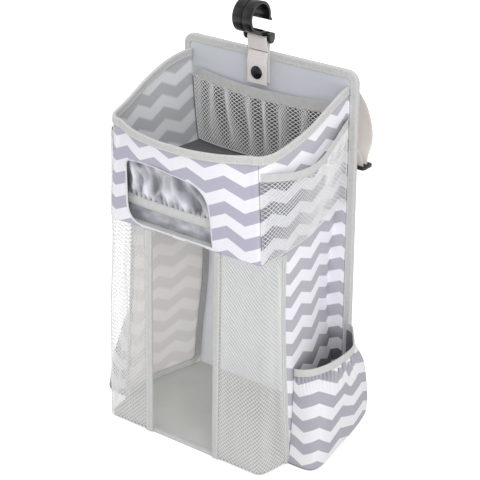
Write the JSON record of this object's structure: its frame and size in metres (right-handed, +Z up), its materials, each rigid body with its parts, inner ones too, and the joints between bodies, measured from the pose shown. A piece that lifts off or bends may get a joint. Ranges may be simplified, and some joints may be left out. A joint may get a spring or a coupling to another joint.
{
  "type": "stroller organizer",
  "caption": "Hanging fabric organizer: a stiff back panel with a deep bin, a wipes pocket, an open stacker below, net side pockets, bottle pouches, a snap strap with a hook, and rear loops.",
  "frame": {"origin": "centre of the underside of the base cloth, midway between the side walls", "axes": "+X to the object's right as the picture shows it, -Y out of the front, +Z up"},
  "size_m": [0.32, 0.2306, 0.503],
  "materials": {
    "printed_cloth": "woven polyester printed with rows of white and lavender grey zigzags",
    "lining": "thin smooth lining cloth, slightly glossy",
    "dark_lining": "dark grey lining cloth on the bin's floor",
    "floor_cloth": "plain grey lining cloth over a stiff board",
    "binding": "light grey ribbed binding tape with a row of stitches at each edge",
    "elastic": "light grey elastic tape, gathered",
    "net": "off-white knitted net with small diamond gaps",
    "satin": "grey satin with a strong sheen, gathered into its elastic",
    "webbing": "beige herringbone webbing",
    "board": "thin stiffening board, hidden between cloth layers",
    "black_plastic": "moulded black plastic with a soft gloss"
  },
  "bodies": {
    "root": {"back_lining": "lining", "back_board": "board", "back_cover": "printed_cloth", "back_binding": "binding", "side_panel_right": "printed_cloth", "side_panel_left": "printed_cloth", "front_band": "printed_cloth", "window_binding": "binding", "rim_binding": "binding", "bin_floor_board": "board", "bin_floor_lining": "dark_lining", "wipes_floor": "floor_cloth", "wipes_curtain": "satin", "wipes_elastic": "elastic", "wipes_lip": "satin", "wipes_partition": "lining", "inner_pocket_net": "net", "inner_pocket_elastic": "elastic", "side_pocket_net_right": "net", "side_pocket_net_left": "net", "side_pocket_elastic_right": "elastic", "side_pocket_elastic_left": "elastic", "front_net_right": "net", "front_net_left": "net", "opening_tape_right": "binding", "opening_tape_left": "binding", "net_seam_tape_right": "binding", "net_seam_tape_left": "binding", "floor_base_cloth": "floor_cloth", "floor_board": "board", "floor_lining": "floor_cloth", "floor_front_tape": "binding", "corner_seam_tape_right": "binding", "corner_seam_tape_left": "binding", "bottle_pouch_right": "printed_cloth", "bottle_pouch_left": "printed_cloth", "pouch_elastic_right": "elastic", "pouch_elastic_left": "elastic", "strap_sewn_leg": "webbing", "snap_stud": "black_plastic", "snap_post": "black_plastic", "rear_loop_right": "webbing", "rear_loop_left": "webbing"},
    "strap_loop": {"strap_loop": "webbing"},
    "hook": {"hanging_hook": "black_plastic"},
    "flap": {"strap_flap": "webbing", "snap_cap": "black_plastic", "snap_socket": "black_plastic"},
    "adjuster_right": {"strap_adjuster_right": "black_plastic"},
    "adjuster_left": {"strap_adjuster_left": "black_plastic"}
  },
  "joints": [
    {"name": "strap_fold", "type": "hinge", "parent": "root", "child": "strap_loop", "pos_m": [-0.01, 0.076, 0.4432], "axis": [1, 0, 0], "range_deg": [-65, 40]},
    {"name": "hook_swing", "type": "hinge", "parent": "strap_loop", "child": "hook", "pos_m": [-0.01, 0.076, 0.456], "axis": [1, 0, 0], "range_deg": [-90, 75]},
    {"name": "snap_flap_open", "type": "hinge", "parent": "root", "child": "flap", "pos_m": [-0.01, 0.0746, 0.4399], "axis": [1, 0, 0], "range_deg": [-110, 0]},
    {"name": "adjuster_right_tilt", "type": "hinge", "parent": "root", "child": "adjuster_right", "pos_m": [0.094, 0.1226, 0.3126], "axis": [1, 0, 0], "range_deg": [-15, 15]},
    {"name": "adjuster_left_tilt", "type": "hinge", "parent": "root", "child": "adjuster_left", "pos_m": [-0.094, 0.1226, 0.3126], "axis": [1, 0, 0], "range_deg": [-15, 15]}
  ]
}
